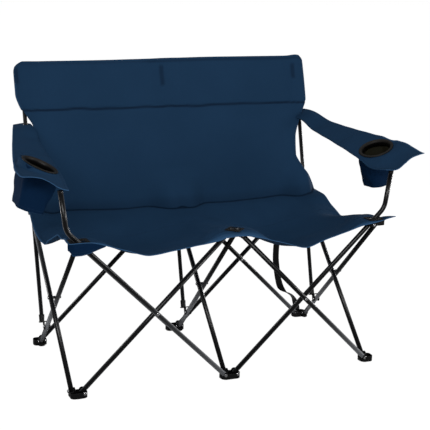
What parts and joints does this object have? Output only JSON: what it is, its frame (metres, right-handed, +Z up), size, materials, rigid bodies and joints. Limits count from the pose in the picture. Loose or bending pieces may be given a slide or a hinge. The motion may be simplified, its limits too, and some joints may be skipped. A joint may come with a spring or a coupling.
{
  "type": "folding camping loveseat",
  "caption": "Two-place folding camping loveseat: navy sling seat and back on a black crossed-tube steel frame, cloth arms with cup holders",
  "frame": {"origin": "on the floor, under the middle of the bounding box", "axes": "X across the seat towards the right of a viewer in front, Y from the front to the back, Z up"},
  "size_m": [1.3628, 0.6982, 0.9833],
  "materials": {
    "tube_steel": "gloss black powder coat",
    "rivet_steel": "bright rivets",
    "black_plastic": "moulded nylon",
    "ring_plastic": "moulded, satin",
    "navy_cloth": "coated polyester weave",
    "black_webbing": "woven webbing"
  },
  "bodies": {
    "foot_front_left": {"foot_front_left": "black_plastic"},
    "hub_front_left": {"hub_front_left": "black_plastic", "seat_patch_left": "black_webbing"},
    "foot_front_centre": {"foot_front_centre": "black_plastic"},
    "hub_front_centre": {"hub_front_centre": "black_plastic", "seat_patch_centre": "black_webbing", "seat_button_centre": "black_plastic"},
    "foot_front_right": {"foot_front_right": "black_plastic"},
    "hub_front_right": {"hub_front_right": "black_plastic", "seat_patch_right": "black_webbing"},
    "leg_front_left_rising": {"leg_front_left_rising": "tube_steel", "rivet_front_left": "rivet_steel"},
    "leg_front_left_falling": {"leg_front_left_falling": "tube_steel", "arm_post_cap_left": "black_plastic"},
    "leg_front_right_rising": {"leg_front_right_rising": "tube_steel", "rivet_front_right": "rivet_steel", "arm_post_cap_right": "black_plastic"},
    "leg_front_right_falling": {"leg_front_right_falling": "tube_steel"},
    "foot_rear_left": {"foot_rear_left": "black_plastic"},
    "hub_rear_left": {"hub_rear_left": "black_plastic"},
    "foot_rear_centre": {"foot_rear_centre": "black_plastic"},
    "hub_rear_centre": {"hub_rear_centre": "black_plastic"},
    "foot_rear_right": {"foot_rear_right": "black_plastic", "carry_strap": "black_webbing"},
    "hub_rear_right": {"hub_rear_right": "black_plastic"},
    "leg_rear_left_rising": {"leg_rear_left_rising": "tube_steel", "rivet_rear_left": "rivet_steel"},
    "leg_rear_left_falling": {"leg_rear_left_falling": "tube_steel"},
    "leg_rear_right_rising": {"leg_rear_right_rising": "tube_steel", "rivet_rear_right": "rivet_steel"},
    "leg_rear_right_falling": {"leg_rear_right_falling": "tube_steel"},
    "leg_side_left_from_front": {"leg_side_left_from_front": "tube_steel"},
    "leg_side_left_from_rear": {"leg_side_left_from_rear": "tube_steel", "rivet_side_left": "rivet_steel"},
    "back_post_left": {"back_post_left": "tube_steel", "post_clip_left": "black_plastic"},
    "leg_side_centre_from_front": {"leg_side_centre_from_front": "tube_steel"},
    "leg_side_centre_from_rear": {"leg_side_centre_from_rear": "tube_steel", "rivet_side_centre": "rivet_steel"},
    "back_post_centre": {"back_post_centre": "tube_steel", "post_clip_centre": "black_plastic", "back_sheet": "navy_cloth"},
    "leg_side_right_from_front": {"leg_side_right_from_front": "tube_steel"},
    "leg_side_right_from_rear": {"leg_side_right_from_rear": "tube_steel", "rivet_side_right": "rivet_steel"},
    "back_post_right": {"back_post_right": "tube_steel", "post_clip_right": "black_plastic"},
    "seat_front": {"seat_front_panel": "navy_cloth"},
    "seat_rear": {"seat_rear_panel": "navy_cloth"},
    "arm_front_left": {"arm_front_panel_left": "navy_cloth", "cup_ring_left": "ring_plastic", "cup_pouch_left": "navy_cloth"},
    "arm_rear_left": {"arm_rear_panel_left": "navy_cloth"},
    "arm_front_right": {"arm_front_panel_right": "navy_cloth", "cup_ring_right": "ring_plastic", "cup_pouch_right": "navy_cloth"},
    "arm_rear_right": {"arm_rear_panel_right": "navy_cloth"}
  },
  "joints": [
    {"name": "fold", "type": "hinge", "parent": "foot_rear_centre", "child": "leg_side_centre_from_rear", "pos_m": [0.012, 0.18502, 0.015], "axis": [-1, 0, 0], "range_deg": [0, 36], "deforming": ["back_sheet", "carry_strap"]},
    {"name": "turn_hub_front_centre", "type": "hinge", "parent": "leg_side_centre_from_rear", "child": "hub_front_centre", "pos_m": [0.012, -0.29498, 0.487], "axis": [1, 0, 0], "range_deg": [0, 36.01]},
    {"name": "turn_leg_rear_left_falling", "type": "hinge", "parent": "foot_rear_centre", "child": "leg_rear_left_falling", "pos_m": [-0.022, 0.19601, 0.015], "axis": [0, 1, 0], "range_deg": [0, 36.01]},
    {"name": "turn_hub_rear_left", "type": "hinge", "parent": "leg_rear_left_falling", "child": "hub_rear_left", "pos_m": [-0.502, 0.19601, 0.487], "axis": [0, -1, 0], "range_deg": [0, 36.01]},
    {"name": "turn_leg_rear_right_rising", "type": "hinge", "parent": "foot_rear_centre", "child": "leg_rear_right_rising", "pos_m": [0.022, 0.21402, 0.015], "axis": [0, -1, 0], "range_deg": [0, 36.01]},
    {"name": "turn_hub_rear_right", "type": "hinge", "parent": "leg_rear_right_rising", "child": "hub_rear_right", "pos_m": [0.502, 0.21402, 0.487], "axis": [0, 1, 0], "range_deg": [0, 36.01]},
    {"name": "turn_leg_front_left_rising", "type": "hinge", "parent": "hub_front_centre", "child": "leg_front_left_rising", "pos_m": [-0.022, -0.30599, 0.487], "axis": [0, -1, 0], "range_deg": [0, 36.01]},
    {"name": "turn_foot_front_left", "type": "hinge", "parent": "leg_front_left_rising", "child": "foot_front_left", "pos_m": [-0.502, -0.30599, 0.015], "axis": [0, 1, 0], "range_deg": [0, 36.01]},
    {"name": "turn_leg_front_right_falling", "type": "hinge", "parent": "hub_front_centre", "child": "leg_front_right_falling", "pos_m": [0.022, -0.32399, 0.487], "axis": [0, 1, 0], "range_deg": [0, 36.01]},
    {"name": "turn_foot_front_right", "type": "hinge", "parent": "leg_front_right_falling", "child": "foot_front_right", "pos_m": [0.502, -0.32399, 0.015], "axis": [0, -1, 0], "range_deg": [0, 36.01]},
    {"name": "turn_leg_side_left_from_front", "type": "hinge", "parent": "hub_rear_left", "child": "leg_side_left_from_front", "pos_m": [-0.536, 0.18502, 0.487], "axis": [1, 0, 0], "range_deg": [0, 36.01]},
    {"name": "turn_leg_side_right_from_front", "type": "hinge", "parent": "hub_rear_right", "child": "leg_side_right_from_front", "pos_m": [0.512, 0.18502, 0.487], "axis": [1, 0, 0], "range_deg": [0, 36.01]},
    {"name": "cross_side_centre", "type": "hinge", "parent": "leg_side_centre_from_rear", "child": "leg_side_centre_from_front", "pos_m": [0, -0.05498, 0.251], "axis": [1, 0, 0], "range_deg": [0, 72.01]},
    {"name": "turn_foot_front_centre", "type": "hinge", "parent": "leg_side_centre_from_front", "child": "foot_front_centre", "pos_m": [-0.012, -0.29498, 0.015], "axis": [-1, 0, 0], "range_deg": [0, 36.01]},
    {"name": "turn_hub_rear_centre", "type": "hinge", "parent": "leg_side_centre_from_front", "child": "hub_rear_centre", "pos_m": [-0.012, 0.18502, 0.487], "axis": [-1, 0, 0], "range_deg": [0, 36.01]},
    {"name": "turn_leg_front_left_falling", "type": "hinge", "parent": "foot_front_centre", "child": "leg_front_left_falling", "pos_m": [-0.022, -0.32399, 0.015], "axis": [0, 1, 0], "range_deg": [0, 36.01]},
    {"name": "turn_hub_front_left", "type": "hinge", "parent": "leg_front_left_falling", "child": "hub_front_left", "pos_m": [-0.502, -0.32399, 0.487], "axis": [0, -1, 0], "range_deg": [0, 36.01]},
    {"name": "turn_leg_front_right_rising", "type": "hinge", "parent": "foot_front_centre", "child": "leg_front_right_rising", "pos_m": [0.022, -0.30599, 0.015], "axis": [0, -1, 0], "range_deg": [0, 36.01]},
    {"name": "turn_hub_front_right", "type": "hinge", "parent": "leg_front_right_rising", "child": "hub_front_right", "pos_m": [0.502, -0.30599, 0.487], "axis": [0, 1, 0], "range_deg": [0, 36.01]},
    {"name": "turn_leg_rear_left_rising", "type": "hinge", "parent": "hub_rear_centre", "child": "leg_rear_left_rising", "pos_m": [-0.022, 0.21402, 0.487], "axis": [0, -1, 0], "range_deg": [0, 36.01]},
    {"name": "turn_foot_rear_left", "type": "hinge", "parent": "leg_rear_left_rising", "child": "foot_rear_left", "pos_m": [-0.502, 0.21402, 0.015], "axis": [0, 1, 0], "range_deg": [0, 36.01]},
    {"name": "turn_leg_rear_right_falling", "type": "hinge", "parent": "hub_rear_centre", "child": "leg_rear_right_falling", "pos_m": [0.022, 0.19601, 0.487], "axis": [0, 1, 0], "range_deg": [0, 36.01]},
    {"name": "turn_foot_rear_right", "type": "hinge", "parent": "leg_rear_right_falling", "child": "foot_rear_right", "pos_m": [0.502, 0.19601, 0.015], "axis": [0, -1, 0], "range_deg": [0, 36.01]},
    {"name": "turn_leg_side_left_from_rear", "type": "hinge", "parent": "foot_rear_left", "child": "leg_side_left_from_rear", "pos_m": [-0.512, 0.18502, 0.015], "axis": [-1, 0, 0], "range_deg": [0, 36.01]},
    {"name": "turn_leg_side_right_from_rear", "type": "hinge", "parent": "foot_rear_right", "child": "leg_side_right_from_rear", "pos_m": [0.536, 0.18502, 0.015], "axis": [-1, 0, 0], "range_deg": [0, 36.01]},
    {"name": "swing_back_post_left", "type": "hinge", "parent": "leg_side_left_from_rear", "child": "back_post_left", "pos_m": [-0.512, 0.10159, 0.09703], "axis": [1, 0, 0], "range_deg": [0, 46.84]},
    {"name": "swing_back_post_centre", "type": "hinge", "parent": "leg_side_centre_from_rear", "child": "back_post_centre", "pos_m": [0.012, 0.10159, 0.09703], "axis": [1, 0, 0], "range_deg": [0, 46.84]},
    {"name": "swing_back_post_right", "type": "hinge", "parent": "leg_side_right_from_rear", "child": "back_post_right", "pos_m": [0.536, 0.10159, 0.09703], "axis": [1, 0, 0], "range_deg": [0, 46.84]},
    {"name": "fold_seat_front", "type": "hinge", "parent": "hub_front_centre", "child": "seat_front", "pos_m": [0, -0.31499, 0.5025], "axis": [-1, 0, 0], "range_deg": [0, 76.06], "deforming": ["seat_front_panel"]},
    {"name": "fold_seat_rear", "type": "hinge", "parent": "back_post_centre", "child": "seat_rear", "pos_m": [0, 0.20302, 0.5025], "axis": [1, 0, 0], "range_deg": [0, 38.88], "deforming": ["seat_rear_panel"]},
    {"name": "fold_arm_front_left", "type": "hinge", "parent": "leg_front_left_falling", "child": "arm_front_left", "pos_m": [-0.5699, -0.32399, 0.66493], "axis": [-0.9401, -0.1397, 0.3111], "range_deg": [0, 105.63], "deforming": ["arm_front_panel_left", "cup_pouch_left"]},
    {"name": "fold_arm_rear_left", "type": "hinge", "parent": "back_post_left", "child": "arm_rear_left", "pos_m": [-0.5273, 0.28379, 0.771], "axis": [0.6794, 0.6034, -0.4175], "range_deg": [0, 41.72], "deforming": ["arm_rear_panel_left"]},
    {"name": "fold_arm_front_right", "type": "hinge", "parent": "leg_front_right_rising", "child": "arm_front_right", "pos_m": [0.5699, -0.30599, 0.66493], "axis": [-0.9435, 0.1304, -0.3048], "range_deg": [0, 114.21], "deforming": ["arm_front_panel_right", "cup_pouch_right"]},
    {"name": "fold_arm_rear_right", "type": "hinge", "parent": "back_post_right", "child": "arm_rear_right", "pos_m": [0.5207, 0.28379, 0.771], "axis": [0.642, -0.674, 0.3655], "range_deg": [0, 37.26], "deforming": ["arm_rear_panel_right"]}
  ],
  "couplings": [
    {"joint": "turn_hub_front_centre", "follows": "fold", "ratio": 1},
    {"joint": "turn_leg_rear_left_falling", "follows": "fold", "ratio": 1},
    {"joint": "turn_hub_rear_left", "follows": "fold", "ratio": 1},
    {"joint": "turn_leg_rear_right_rising", "follows": "fold", "ratio": 1},
    {"joint": "turn_hub_rear_right", "follows": "fold", "ratio": 1},
    {"joint": "turn_leg_front_left_rising", "follows": "fold", "ratio": 1},
    {"joint": "turn_foot_front_left", "follows": "fold", "ratio": 1},
    {"joint": "turn_leg_front_right_falling", "follows": "fold", "ratio": 1},
    {"joint": "turn_foot_front_right", "follows": "fold", "ratio": 1},
    {"joint": "turn_leg_side_left_from_front", "follows": "fold", "ratio": 1},
    {"joint": "turn_leg_side_right_from_front", "follows": "fold", "ratio": 1},
    {"joint": "cross_side_centre", "follows": "fold", "ratio": 2},
    {"joint": "turn_foot_front_centre", "follows": "fold", "ratio": 1},
    {"joint": "turn_hub_rear_centre", "follows": "fold", "ratio": 1},
    {"joint": "turn_leg_front_left_falling", "follows": "fold", "ratio": 1},
    {"joint": "turn_hub_front_left", "follows": "fold", "ratio": 1},
    {"joint": "turn_leg_front_right_rising", "follows": "fold", "ratio": 1},
    {"joint": "turn_hub_front_right", "follows": "fold", "ratio": 1},
    {"joint": "turn_leg_rear_left_rising", "follows": "fold", "ratio": 1},
    {"joint": "turn_foot_rear_left", "follows": "fold", "ratio": 1},
    {"joint": "turn_leg_rear_right_falling", "follows": "fold", "ratio": 1},
    {"joint": "turn_foot_rear_right", "follows": "fold", "ratio": 1},
    {"joint": "turn_leg_side_left_from_rear", "follows": "fold", "ratio": 1},
    {"joint": "turn_leg_side_right_from_rear", "follows": "fold", "ratio": 1},
    {"joint": "swing_back_post_left", "follows": "fold", "ratio": 1.3007},
    {"joint": "swing_back_post_centre", "follows": "fold", "ratio": 1.3007},
    {"joint": "swing_back_post_right", "follows": "fold", "ratio": 1.3007},
    {"joint": "fold_seat_front", "follows": "fold", "ratio": 2.1124},
    {"joint": "fold_seat_rear", "follows": "fold", "ratio": 1.0798},
    {"joint": "fold_arm_front_left", "follows": "fold", "ratio": 2.934},
    {"joint": "fold_arm_rear_left", "follows": "fold", "ratio": 1.1586},
    {"joint": "fold_arm_front_right", "follows": "fold", "ratio": 3.1723},
    {"joint": "fold_arm_rear_right", "follows": "fold", "ratio": 1.0348}
  ]
}
